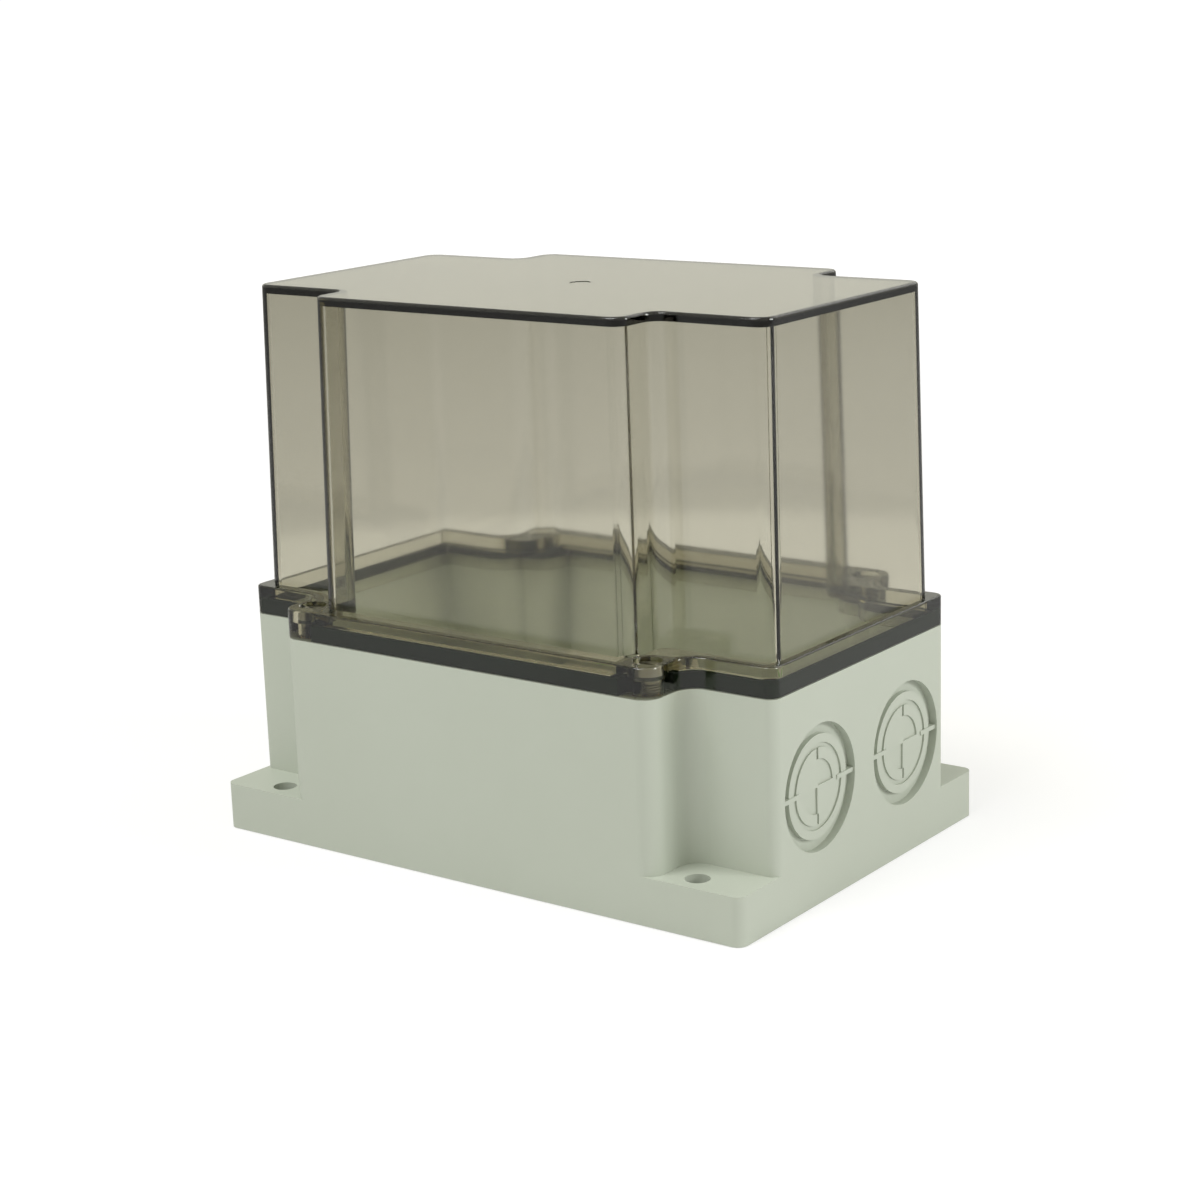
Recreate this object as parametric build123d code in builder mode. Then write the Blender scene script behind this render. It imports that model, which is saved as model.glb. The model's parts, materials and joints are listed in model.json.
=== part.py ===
from build123d import *

import math
import os

# Wall-mounting junction box: a notched tub with four lugs, a deep see-through cover that lifts off,
# and a strip of rail terminals on the floor. Millimetres, X along the box, Y across it, Z up.
# The origin is the middle of the underside.

os.makedirs("parts", exist_ok=True)

# Plan of the box
box_length = 180.0
box_width = 122.0
notch_length = 26.5
notch_depth = 16.8
foot_radius = 3.0
end_radius = 3.0
notch_radius = 6.0
step_radius = 5.0

# Tub
wall = 3.0
floor_thickness = 3.0
foot_height = 13.5
base_height = 61.0
cavity_radius = 1.5
lug_hole_radius = 3.4
lug_hole_inset_x = 17.5
lug_hole_inset_y = 6.5
lug_skin = 2.5
lug_boss_wall = 2.2

# Knockouts in both short walls
knockout_spacing = 44.6
knockout_height = 32.0
knockout_recess_radius = 17.4
knockout_disc_radius = 14.2
knockout_ring_radius = 11.2
knockout_core_radius = 7.5
knockout_recess_depth = 2.3
knockout_disc_depth = 0.9
knockout_groove_width = 1.3
knockout_groove_depth = 0.5
knockout_rib_width = 1.2
knockout_rib_depth = 0.6
knockout_slit_width = 0.9

# Joint between tub and cover
skirt_thickness = 1.4
tongue_gap = 0.2
tongue_height = 1.4
channel_width = 2.0
lip_thickness = 1.4
lip_reach = 2.0
seal_squeeze = 0.05

# Cover
cover_height = 96.0
flange_height = 8.5
web_thickness = 4.0
flange_edge_radius = 0.6
hood_end_inset = 2.3
hood_side_inset = 3.7
hood_step_inset = 10.0
hood_main_inset = 6.4
hood_draft = 0.9
hood_wall = 2.5
hood_top = 2.7
hood_radius = 4.5
hood_notch_radius = 4.0
hood_edge_radius = 0.8
gate_radius = 3.0
gate_depth = 0.15

# Cover screws, their sealing rings and their inserts
screw_inset_x = 5.5
screw_inset_y = 7.5
boss_reach = 5.0
screw_radius = 2.0
screw_length = 12.2
screw_head_radius = 3.4
screw_head_height = 2.4
screw_head_edge = 0.4
screw_slot_width = 1.2
screw_tip_chamfer = 0.5
screw_passage_gap = 0.4
counterbore_gap = 0.5
counterbore_depth = 4.2
running_clearance = 0.05
ring_height = 0.9
ring_width = 1.4
insert_radius = 2.8
insert_length = 8.0
insert_groove_depth = 0.35
insert_groove_length = 1.0
insert_well_depth = 3.0
tower_core_radius = 3.2
tower_core_height = 40.0

# Rail and its screws
rail_end_gap = 15.0
rail_width = 35.0
rail_channel_width = 27.0
rail_height = 7.5
rail_sheet = 1.0
rail_slot_width = 5.2
rail_slot_length = 15.0
rail_slot_count = 6
rail_boss_radius = 5.0
rail_boss_height = 5.0
rail_screw_radius = 1.8
rail_screw_length = 7.5
rail_screw_head_radius = 3.8
rail_screw_head_height = 2.4
plate_boss_radius = 3.5
plate_boss_bore = 1.4
plate_boss_height = 9.0
plate_boss_inset_x = 12.0
plate_boss_inset_y = 28.0

# Terminals
terminal_count = 6
terminal_pitch = 5.2
terminal_gap = 0.1
terminal_length = 48.5
terminal_height = 28.0
terminal_shoulder = 16.5
terminal_top_length = 23.0
terminal_side_wall = 1.2
hook_gap = 0.15
hook_length = 2.0
hook_thickness = 1.4
clamp_pitch = 32.0
clamp_length = 6.0
clamp_height = 8.5
clamp_width = 3.5
clamp_sheet = 0.9
clamp_cheek = 0.4
clamp_floor = 5.0
clamp_room = 0.3
wire_hole_radius = 1.35
wire_funnel_radius = 1.9
wire_funnel_depth = 2.0
access_hole_radius = 1.5
terminal_screw_radius = 1.1
terminal_screw_head_radius = 1.35
terminal_screw_head_height = 1.8
terminal_screw_length = 4.5
terminal_slot_width = 0.6
end_plate_thickness = 1.5
end_stop_thickness = 8.0
end_stop_height = 18.0
end_stop_length = 42.0
end_stop_shoulder = 6.0
end_stop_top_length = 22.0
end_stop_bore = 1.6
end_stop_screw_head_radius = 2.6
end_stop_screw_head_height = 2.0
end_stop_screw_length = 11.0

half_length = box_length / 2
half_width = box_width / 2
screw_x = half_length - notch_length - screw_inset_x
screw_y = half_width - screw_inset_y
rail_length = box_length - 2 * rail_end_gap
rail_slot_pitch = rail_length / rail_slot_count
rail_screw_spacing = rail_length - rail_slot_pitch
plate_boss_spacing_x = box_length - 2 * plate_boss_inset_x
plate_boss_spacing_y = box_width - 2 * plate_boss_inset_y
flange_top = base_height + flange_height
web_bottom = flange_top - web_thickness
cover_top = base_height + cover_height


def notched_plan(plan, end_x, end_y, main_x, main_y, corner, notch, step):
    """Adds a long rectangle with a wider middle block to the sketch, its corners rounded."""
    Rectangle(2 * end_x, 2 * end_y)
    Rectangle(2 * main_x, 2 * main_y)
    split_x = (main_x + end_x) / 2
    split_y = (main_y + end_y) / 2
    fillet(plan.vertices().filter_by(lambda point: abs(point.X) > split_x), corner)
    fillet(plan.vertices().filter_by(lambda point: abs(point.Y) > split_y), step)
    inner = plan.vertices().filter_by(lambda point: abs(point.X) < split_x and abs(point.Y) < split_y)
    fillet(inner, notch)


def box_plan(plan, inset, corner):
    """Adds the plan of the box, set in by an even inset, to the sketch."""
    notched_plan(
        plan,
        half_length - inset,
        half_width - notch_depth - inset,
        half_length - notch_length - inset,
        half_width - inset,
        corner,
        notch_radius + inset,
        max(step_radius - inset, cavity_radius),
    )


def sealed_plan(plan, inset):
    """Adds the box plan, set in, and leaves out the four corners that hold the cover screws."""
    box_plan(plan, inset, max(end_radius - inset, cavity_radius))
    reach = boss_reach + inset - skirt_thickness
    block = 2 * (half_width - screw_y + boss_reach + wall)
    centre_x = screw_x - reach + block / 2
    centre_y = screw_y - reach + block / 2
    with GridLocations(2 * centre_x, 2 * centre_y, 2, 2):
        RectangleRounded(block, block, reach, mode=Mode.SUBTRACT)


def hood_plan(plan, inset, corner, notch):
    """Adds the plan of the hood's foot, set in by the draft or by its wall, to the sketch."""
    notched_plan(
        plan,
        half_length - hood_end_inset - inset,
        half_width - notch_depth - hood_side_inset - inset,
        half_length - notch_length - hood_step_inset - inset,
        half_width - hood_main_inset - inset,
        corner,
        notch,
        corner,
    )


def slotted_screw(place, seat, head_radius, head_height, slot_width, shank_radius, length):
    """Builds a screw with a slotted head that stands on the seat level and a shank pointing down."""
    with BuildPart() as screw:
        with BuildSketch(Plane.XY.offset(seat)):
            with Locations(place):
                Circle(head_radius)
        extrude(amount=head_height)
        fillet(screw.faces().sort_by(Axis.Z)[-1].edges(), screw_head_edge)
        with BuildSketch(Plane.XY.offset(seat - length)):
            with Locations(place):
                Circle(shank_radius)
        extrude(amount=length)
        chamfer(screw.faces().sort_by(Axis.Z)[0].edges(), screw_tip_chamfer)
        with BuildSketch(Plane.XY.offset(seat + head_height)):
            with Locations(place):
                Rectangle(2 * head_radius, slot_width)
        extrude(amount=-head_height / 2, mode=Mode.SUBTRACT)
    return screw.part


right_end = Plane(origin=(half_length, 0, 0), x_dir=(0, 1, 0), z_dir=(1, 0, 0))
left_end = Plane(origin=(-half_length, 0, 0), x_dir=(0, -1, 0), z_dir=(-1, 0, 0))
knockout_places = [(-knockout_spacing / 2, knockout_height), (knockout_spacing / 2, knockout_height)]
lug_hole_x = half_length - lug_hole_inset_x
lug_hole_y = half_width - lug_hole_inset_y
tongue_inset = skirt_thickness + tongue_gap
channel_inner = skirt_thickness + channel_width
lip_inner = channel_inner + lip_thickness
insert_bore = screw_radius + running_clearance
hood_inner_radius = hood_radius - hood_wall
hood_inner_notch = hood_notch_radius + hood_wall

# Tub with its foot, lugs, knockouts, screw towers and floor bosses
with BuildPart() as base_box:
    with BuildSketch():
        RectangleRounded(box_length, box_width, foot_radius)
    extrude(amount=foot_height)
    with BuildSketch() as wall_plan:
        box_plan(wall_plan, 0, end_radius)
    extrude(amount=base_height)
    with BuildSketch(Plane.XY.offset(floor_thickness)) as cavity_plan:
        sealed_plan(cavity_plan, wall)
    extrude(amount=base_height, mode=Mode.SUBTRACT)

    # Tongue that enters the cover's channel
    with BuildSketch(Plane.XY.offset(base_height)) as tongue_plan:
        sealed_plan(tongue_plan, tongue_inset)
    extrude(amount=tongue_height)
    with BuildSketch(Plane.XY.offset(base_height)) as tongue_inside:
        sealed_plan(tongue_inside, wall)
    extrude(amount=tongue_height, mode=Mode.SUBTRACT)

    # Lugs are hollow from below, with a boss round each wall screw
    pocket_x = notch_length - 2 * lug_skin
    pocket_y = notch_depth - 2 * lug_skin
    with BuildSketch():
        with GridLocations(box_length - notch_length, box_width - notch_depth, 2, 2):
            Rectangle(pocket_x, pocket_y)
        with GridLocations(2 * lug_hole_x, 2 * lug_hole_y, 2, 2):
            Circle(lug_hole_radius + lug_boss_wall, mode=Mode.SUBTRACT)
    extrude(amount=foot_height - floor_thickness, mode=Mode.SUBTRACT)
    with GridLocations(2 * lug_hole_x, 2 * lug_hole_y, 2, 2):
        Hole(radius=lug_hole_radius)

    # Screw towers: cored from below, bored from above for the inserts
    with BuildSketch():
        with GridLocations(2 * screw_x, 2 * screw_y, 2, 2):
            Circle(tower_core_radius)
    extrude(amount=tower_core_height, mode=Mode.SUBTRACT)
    with Locations(Plane.XY.offset(base_height)):
        with GridLocations(2 * screw_x, 2 * screw_y, 2, 2):
            CounterBoreHole(
                radius=insert_bore,
                counter_bore_radius=insert_radius,
                counter_bore_depth=insert_length,
                depth=insert_length + insert_well_depth,
            )

    # Bosses for the rail and for a mounting plate
    with BuildSketch(Plane.XY.offset(floor_thickness)):
        with GridLocations(rail_screw_spacing, 0, 2, 1):
            Circle(rail_boss_radius)
    extrude(amount=rail_boss_height)
    with BuildSketch(Plane.XY.offset(floor_thickness + rail_boss_height)):
        with GridLocations(rail_screw_spacing, 0, 2, 1):
            Circle(rail_screw_radius)
    extrude(amount=-rail_screw_length, mode=Mode.SUBTRACT)
    with BuildSketch(Plane.XY.offset(floor_thickness)):
        with GridLocations(plate_boss_spacing_x, plate_boss_spacing_y, 2, 2):
            Circle(plate_boss_radius)
    extrude(amount=plate_boss_height)
    with BuildSketch(Plane.XY.offset(floor_thickness + plate_boss_height)):
        with GridLocations(plate_boss_spacing_x, plate_boss_spacing_y, 2, 2):
            Circle(plate_boss_bore)
    extrude(amount=-plate_boss_height, mode=Mode.SUBTRACT)

    # Knockouts: a deep outer ring, a sunk disc with a ring groove, slits and ribs, and a quartered core
    knockout_band = knockout_ring_radius - knockout_core_radius
    slit_middle = (knockout_ring_radius + knockout_core_radius) / 2
    quarter = knockout_core_radius + knockout_slit_width / 2
    for end_face in (right_end, left_end):
        with BuildSketch(end_face):
            with Locations(*knockout_places):
                Circle(knockout_recess_radius)
                Circle(knockout_disc_radius, mode=Mode.SUBTRACT)
        extrude(amount=-knockout_recess_depth, mode=Mode.SUBTRACT)
        with BuildSketch(end_face):
            with Locations(*knockout_places):
                Circle(knockout_disc_radius)
        extrude(amount=-knockout_disc_depth, mode=Mode.SUBTRACT)
        with BuildSketch(end_face.offset(-knockout_disc_depth)):
            with Locations(*knockout_places):
                Circle(knockout_ring_radius + knockout_groove_width / 2)
                Circle(knockout_ring_radius - knockout_groove_width / 2, mode=Mode.SUBTRACT)
                with GridLocations(0, 2 * slit_middle, 1, 2):
                    Rectangle(knockout_slit_width, knockout_band)
        extrude(amount=-knockout_groove_depth, mode=Mode.SUBTRACT)
        with BuildSketch(end_face.offset(-knockout_disc_depth)):
            with Locations(*knockout_places):
                Circle(knockout_core_radius)
                with Locations((-knockout_core_radius / 2, knockout_core_radius / 2)):
                    Rectangle(quarter, quarter, mode=Mode.SUBTRACT)
                with Locations((knockout_core_radius / 2, -knockout_core_radius / 2)):
                    Rectangle(quarter, quarter, mode=Mode.SUBTRACT)
        extrude(amount=-knockout_groove_depth, mode=Mode.SUBTRACT)
        with BuildSketch(end_face.offset(-knockout_recess_depth)):
            with Locations(*knockout_places):
                Rectangle(2 * knockout_recess_radius, knockout_rib_width)
                Circle(slit_middle, mode=Mode.SUBTRACT)
        extrude(amount=knockout_recess_depth - knockout_rib_depth)
base_box.part.label = "base_box"
export_step(base_box.part, "parts/base_box.step")

# Cover: flange with skirt, seal channel and lip, and the tapered hood on it
draft_inset = (cover_top - flange_top) * math.tan(math.radians(hood_draft))
with BuildPart() as cover:
    with BuildSketch(Plane.XY.offset(base_height)) as flange_plan:
        box_plan(flange_plan, 0, end_radius)
    extrude(amount=flange_height)
    fillet(cover.faces().sort_by(Axis.Z)[-1].outer_wire().edges(), flange_edge_radius)
    with BuildSketch(Plane.XY.offset(flange_top)) as hood_foot:
        hood_plan(hood_foot, 0, hood_radius, hood_notch_radius)
    with BuildSketch(Plane.XY.offset(cover_top)) as hood_head:
        hood_plan(hood_head, draft_inset, hood_radius, hood_notch_radius)
    loft(ruled=True)
    fillet(cover.faces().sort_by(Axis.Z)[-1].outer_wire().edges(), hood_edge_radius)

    # Inside of the hood, with the same draft
    top_draft = draft_inset - hood_top * math.tan(math.radians(hood_draft))
    with BuildSketch(Plane.XY.offset(flange_top)) as inside_foot:
        hood_plan(inside_foot, hood_wall, hood_inner_radius, hood_inner_notch)
    with BuildSketch(Plane.XY.offset(cover_top - hood_top)) as inside_head:
        hood_plan(inside_head, hood_wall + top_draft, hood_inner_radius, hood_inner_notch)
    loft(ruled=True, mode=Mode.SUBTRACT)

    # Opening through the web, no wider than the ring that the lip leaves free
    with BuildSketch(Plane.XY.offset(web_bottom)) as web_opening:
        hood_plan(web_opening, hood_wall, hood_inner_radius, hood_inner_notch)
        with BuildSketch(mode=Mode.PRIVATE) as lip_inside:
            sealed_plan(lip_inside, lip_inner)
        add(lip_inside.sketch, mode=Mode.INTERSECT)
    extrude(amount=web_thickness, mode=Mode.SUBTRACT)

    # Open space under the web, then the lip that stands in it
    with BuildSketch(Plane.XY.offset(base_height)) as under_web:
        sealed_plan(under_web, skirt_thickness)
    extrude(amount=web_bottom - base_height, mode=Mode.SUBTRACT)
    with BuildSketch(Plane.XY.offset(base_height - lip_reach)) as lip_plan:
        sealed_plan(lip_plan, channel_inner)
        with BuildSketch(mode=Mode.PRIVATE) as lip_hole:
            sealed_plan(lip_hole, lip_inner)
        add(lip_hole.sketch, mode=Mode.SUBTRACT)
    extrude(amount=web_bottom - base_height + lip_reach)

    # Screw seats and the mark of the mould's gate
    with Locations(Plane.XY.offset(flange_top)):
        with GridLocations(2 * screw_x, 2 * screw_y, 2, 2):
            CounterBoreHole(
                radius=screw_radius + screw_passage_gap,
                counter_bore_radius=screw_head_radius + counterbore_gap,
                counter_bore_depth=counterbore_depth,
                depth=flange_height,
            )
    with BuildSketch(Plane.XY.offset(cover_top)):
        Circle(gate_radius)
    extrude(amount=-gate_depth, mode=Mode.SUBTRACT)
cover.part.label = "cover"
export_step(cover.part, "parts/cover.step")

# Rubber seal in the channel, from the tongue's crest to the web
with BuildPart() as cover_seal:
    with BuildSketch(Plane.XY.offset(base_height + tongue_height)) as seal_plan:
        sealed_plan(seal_plan, skirt_thickness + seal_squeeze)
        with BuildSketch(mode=Mode.PRIVATE) as seal_hole:
            sealed_plan(seal_hole, channel_inner - seal_squeeze)
        add(seal_hole.sketch, mode=Mode.SUBTRACT)
    extrude(amount=web_bottom - base_height - tongue_height)
cover_seal.part.label = "cover_seal"
export_step(cover_seal.part, "parts/cover_seal.step")

# Fasteners of the cover: one made at each corner
seat_level = flange_top - counterbore_depth
head_level = seat_level + ring_height
corners = {
    "front_right": (screw_x, -screw_y),
    "front_left": (-screw_x, -screw_y),
    "back_left": (-screw_x, screw_y),
    "back_right": (screw_x, screw_y),
}
for corner_name, (corner_x, corner_y) in corners.items():
    cover_screw = slotted_screw(
        (corner_x, corner_y),
        head_level,
        screw_head_radius,
        screw_head_height,
        screw_slot_width,
        screw_radius,
        screw_length,
    )
    cover_screw.label = f"cover_screw_{corner_name}"
    export_step(cover_screw, f"parts/cover_screw_{corner_name}.step")

    with BuildPart() as screw_ring:
        with BuildSketch(Plane.XY.offset(seat_level)):
            with Locations((corner_x, corner_y)):
                Circle(insert_bore + ring_width)
                Circle(insert_bore, mode=Mode.SUBTRACT)
        extrude(amount=ring_height)
    screw_ring.part.label = f"screw_ring_{corner_name}"
    export_step(screw_ring.part, f"parts/screw_ring_{corner_name}.step")

    with BuildPart() as insert:
        with BuildSketch(Plane.XY.offset(base_height - insert_length)):
            with Locations((corner_x, corner_y)):
                Circle(insert_radius)
                Circle(insert_bore, mode=Mode.SUBTRACT)
        extrude(amount=insert_length)
        with BuildSketch(Plane.XY.offset(base_height - insert_length / 2 - insert_groove_length / 2)):
            with Locations((corner_x, corner_y)):
                Circle(insert_radius)
                Circle(insert_radius - insert_groove_depth, mode=Mode.SUBTRACT)
        extrude(amount=insert_groove_length, mode=Mode.SUBTRACT)
    insert.part.label = f"insert_{corner_name}"
    export_step(insert.part, f"parts/insert_{corner_name}.step")

# Top-hat rail on the floor bosses
rail_bottom = floor_thickness + rail_boss_height
rail_top = rail_bottom + rail_height
rail_floor = rail_bottom + rail_sheet
rail_flange_width = (rail_width - rail_channel_width) / 2 + rail_sheet
with BuildPart() as din_rail:
    with BuildSketch(Plane.YZ.offset(-rail_length / 2)):
        with Locations((0, rail_bottom + rail_height / 2)):
            Rectangle(rail_channel_width, rail_height)
        with Locations((0, rail_floor + rail_height / 2)):
            Rectangle(rail_channel_width - 2 * rail_sheet, rail_height, mode=Mode.SUBTRACT)
        with Locations((0, rail_top - rail_sheet / 2)):
            with GridLocations(rail_width - rail_flange_width, 0, 2, 1):
                Rectangle(rail_flange_width, rail_sheet)
    extrude(amount=rail_length)
    with BuildSketch(Plane.XY.offset(rail_bottom)):
        with GridLocations(rail_slot_pitch, 0, rail_slot_count, 1):
            SlotOverall(rail_slot_length, rail_slot_width)
    extrude(amount=rail_sheet, mode=Mode.SUBTRACT)
din_rail.part.label = "din_rail"
export_step(din_rail.part, "parts/din_rail.step")

for side_name, side in (("left", -1), ("right", 1)):
    rail_screw = slotted_screw(
        (side * rail_screw_spacing / 2, 0),
        rail_floor,
        rail_screw_head_radius,
        rail_screw_head_height,
        screw_slot_width,
        rail_screw_radius,
        rail_screw_length,
    )
    rail_screw.label = f"rail_screw_{side_name}"
    export_step(rail_screw, f"parts/rail_screw_{side_name}.step")


def rail_clip_plan(half_base, shoulder, half_top, top):
    """Draws the side view of a piece that clips over the rail, with hooks under the rail's edges."""
    grip = rail_width / 2 + hook_gap
    hook_top = rail_top - rail_sheet - hook_gap
    hook_bottom = hook_top - hook_thickness
    with BuildLine() as outline:
        Polyline(
            (0, rail_top),
            (grip, rail_top),
            (grip, hook_top),
            (grip - hook_length, hook_top),
            (grip - hook_length, hook_bottom),
            (grip + hook_thickness, hook_bottom),
            (half_base, rail_top),
            (half_base, rail_top + shoulder),
            (half_top, rail_top + top),
            (0, rail_top + top),
        )
        mirror(about=Plane.YZ)
    make_face(outline.edges())


def terminal_plan():
    """Draws the side view of a terminal, which its end plate shares."""
    rail_clip_plan(terminal_length / 2, terminal_shoulder, terminal_top_length / 2, terminal_height)


clamp_level = rail_top + clamp_floor
clamp_top = clamp_level + clamp_height
terminal_top = rail_top + terminal_height
terminal_thickness = terminal_pitch - terminal_gap
pocket_depth = terminal_thickness - terminal_side_wall
first_face = -terminal_pitch * terminal_count / 2
screw_solids = []
for index in range(terminal_count):
    near_face = first_face + index * terminal_pitch
    far_face = near_face + terminal_thickness
    clamp_centre = near_face + terminal_side_wall + clamp_width / 2
    is_earth = index == terminal_count - 1
    terminal_name = "earth_terminal" if is_earth else f"terminal_{index + 1}"
    clamp_name = "earth_clamp" if is_earth else f"clamp_{index + 1}"

    with BuildPart() as terminal:
        with BuildSketch(Plane.YZ.offset(near_face)):
            terminal_plan()
        extrude(amount=terminal_thickness)
        with BuildSketch(Plane.YZ.offset(far_face)):
            with Locations((0, clamp_level + (clamp_height + clamp_room) / 2)):
                with GridLocations(clamp_pitch, 0, 2, 1):
                    Rectangle(clamp_length + 2 * clamp_room, clamp_height + clamp_room)
            with Locations((0, clamp_level + (clamp_sheet + clamp_room) / 2)):
                Rectangle(clamp_pitch, clamp_sheet + clamp_room)
            if is_earth:
                with Locations((0, (clamp_level + rail_top) / 2)):
                    Rectangle(clamp_length, clamp_floor)
        extrude(amount=-pocket_depth, mode=Mode.SUBTRACT)
        with Locations(Plane.XY.offset(terminal_top)):
            with Locations((clamp_centre, 0)):
                with GridLocations(0, clamp_pitch, 1, 2):
                    Hole(radius=access_hole_radius, depth=terminal_top - clamp_top)
        for wire_face in (Plane.XZ.offset(terminal_length / 2), Plane.ZX.offset(terminal_length / 2)):
            entry = wire_face.to_local_coords(Vector(clamp_centre, 0, (clamp_level + clamp_top) / 2))
            with Locations(wire_face):
                with Locations((entry.X, entry.Y)):
                    CounterSinkHole(
                        radius=wire_hole_radius,
                        counter_sink_radius=wire_funnel_radius,
                        depth=terminal_length / 2,
                    )
    terminal.part.label = terminal_name
    export_step(terminal.part, f"parts/{terminal_name}.step")

    with BuildPart() as clamp:
        with Locations((clamp_centre, 0, (clamp_level + clamp_top) / 2)):
            with GridLocations(0, clamp_pitch, 1, 2):
                Box(clamp_width, clamp_length, clamp_height)
                Box(
                    clamp_width - 2 * clamp_cheek,
                    clamp_length,
                    clamp_height - 2 * clamp_sheet,
                    mode=Mode.SUBTRACT,
                )
        with Locations((clamp_centre, 0, clamp_level + clamp_sheet / 2)):
            Box(clamp_width, clamp_pitch, clamp_sheet)
        if is_earth:
            with Locations((clamp_centre, 0, (clamp_level + rail_top) / 2)):
                Box(clamp_width, clamp_length - clamp_room, clamp_floor)
        with Locations(Plane.XY.offset(clamp_top)):
            with Locations((clamp_centre, 0)):
                with GridLocations(0, clamp_pitch, 1, 2):
                    Hole(radius=terminal_screw_radius, depth=clamp_sheet)
    clamp.part.label = clamp_name
    export_step(clamp.part, f"parts/{clamp_name}.step")

    for side in (-1, 1):
        screw_solids.append(
            slotted_screw(
                (clamp_centre, side * clamp_pitch / 2),
                clamp_top,
                terminal_screw_head_radius,
                terminal_screw_head_height,
                terminal_slot_width,
                terminal_screw_radius,
                terminal_screw_length,
            )
        )

terminal_screws = Compound(label="terminal_screws", children=screw_solids)
export_step(terminal_screws, "parts/terminal_screws.step")

# Plate that closes the open side of the last terminal
row_end = first_face + terminal_count * terminal_pitch
with BuildPart() as end_plate:
    with BuildSketch(Plane.YZ.offset(row_end)):
        terminal_plan()
    extrude(amount=end_plate_thickness)
end_plate.part.label = "end_plate"
export_step(end_plate.part, "parts/end_plate.step")

# End stops, clamped on the rail by a screw each
stop_top = rail_top + end_stop_height
left_stop_face = first_face - terminal_gap - end_stop_thickness
right_stop_face = row_end + end_plate_thickness + terminal_gap
for side_name, stop_face in (("left", left_stop_face), ("right", right_stop_face)):
    with BuildPart() as end_stop:
        with BuildSketch(Plane.YZ.offset(stop_face)):
            rail_clip_plan(end_stop_length / 2, end_stop_shoulder, end_stop_top_length / 2, end_stop_height)
        extrude(amount=end_stop_thickness)
        with Locations(Plane.XY.offset(stop_top)):
            with Locations((stop_face + end_stop_thickness / 2, 0)):
                Hole(radius=end_stop_bore, depth=end_stop_height)
    end_stop.part.label = f"end_stop_{side_name}"
    export_step(end_stop.part, f"parts/end_stop_{side_name}.step")

    stop_screw = slotted_screw(
        (stop_face + end_stop_thickness / 2, 0),
        stop_top,
        end_stop_screw_head_radius,
        end_stop_screw_head_height,
        screw_slot_width,
        end_stop_bore,
        end_stop_screw_length,
    )
    stop_screw.label = f"stop_screw_{side_name}"
    export_step(stop_screw, f"parts/stop_screw_{side_name}.step")
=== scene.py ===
"""Dresses the junction box: a textured grey base under a tall smoked cover, seen in soft studio light."""

import json
import logging
import math
from collections.abc import Callable
from dataclasses import dataclass
from enum import Enum
from typing import Any

import bpy
from mathutils import Matrix, Vector


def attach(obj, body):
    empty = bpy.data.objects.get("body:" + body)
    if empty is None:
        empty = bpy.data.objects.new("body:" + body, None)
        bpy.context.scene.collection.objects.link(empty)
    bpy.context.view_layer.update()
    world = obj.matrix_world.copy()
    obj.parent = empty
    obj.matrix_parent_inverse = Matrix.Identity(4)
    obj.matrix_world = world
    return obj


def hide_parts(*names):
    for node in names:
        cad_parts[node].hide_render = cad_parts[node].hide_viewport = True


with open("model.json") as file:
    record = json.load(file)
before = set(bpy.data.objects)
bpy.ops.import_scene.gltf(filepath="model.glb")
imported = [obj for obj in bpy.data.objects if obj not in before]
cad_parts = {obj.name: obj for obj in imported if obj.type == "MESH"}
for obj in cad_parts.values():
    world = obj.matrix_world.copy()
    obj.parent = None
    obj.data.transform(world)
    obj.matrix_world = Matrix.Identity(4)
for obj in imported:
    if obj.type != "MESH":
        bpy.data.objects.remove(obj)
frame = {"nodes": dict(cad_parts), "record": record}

log = logging.getLogger("junction_box")

MM = 0.001
# How far a face's normal points along Z: at least this for a level face, at most that for an upright one.
LEVEL = 0.9
UPRIGHT = 0.3


def linear(hex_colour: str) -> tuple[float, float, float, float]:
    """Turns an sRGB hex colour to linear light by the sRGB standard's curve.

    Args:
        hex_colour: A hash and six hex digits.

    Returns:
        Linear red, green and blue, and an alpha of one.
    """
    values = [int(hex_colour[i : i + 2], 16) / 255 for i in (1, 3, 5)]
    light = [v / 12.92 if v <= 0.04045 else ((v + 0.055) / 1.055) ** 2.4 for v in values]
    return (light[0], light[1], light[2], 1.0)


def grey(level: float) -> tuple[float, float, float, float]:
    """Gives the linear grey of that level."""
    return (level, level, level, 1.0)


def per_metre(size_mm: float) -> float:
    """Gives the pattern scale at which one cell of a texture is about that many millimetres."""
    return 1.0 / (size_mm * MM)


def add_node(
    tree: bpy.types.NodeTree,
    kind: str,
    settings: dict[str, Any] | None = None,
    inputs: dict[str | int, Any] | None = None,
    links: dict[str | int, bpy.types.NodeSocket] | None = None,
) -> bpy.types.Node:
    """Adds a node with its settings, socket values and incoming links.

    A Mix node's sockets share their names, so they go by number: 0 is the factor, 2 and 3 are the two
    numbers that it mixes, and 6 and 7 the two colours.

    Args:
        tree: The node tree.
        kind: The node's type name.
        settings: Properties of the node.
        inputs: Values of its input sockets, by name or number.
        links: Output sockets of other nodes that feed its inputs.

    Returns:
        The new node.
    """
    node = tree.nodes.new(kind)
    for name, value in (settings or {}).items():
        setattr(node, name, value)
    for key, value in (inputs or {}).items():
        node.inputs[key].default_value = value
    for key, socket in (links or {}).items():
        tree.links.new(socket, node.inputs[key])
    return node


def new_material(name: str) -> tuple[bpy.types.Material, bpy.types.NodeTree]:
    """Makes a material with no nodes.

    Args:
        name: The material's name.

    Returns:
        The material and its empty node tree.
    """
    made = bpy.data.materials.new(name)
    made.use_nodes = True
    made.node_tree.nodes.clear()
    return made, made.node_tree


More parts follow.
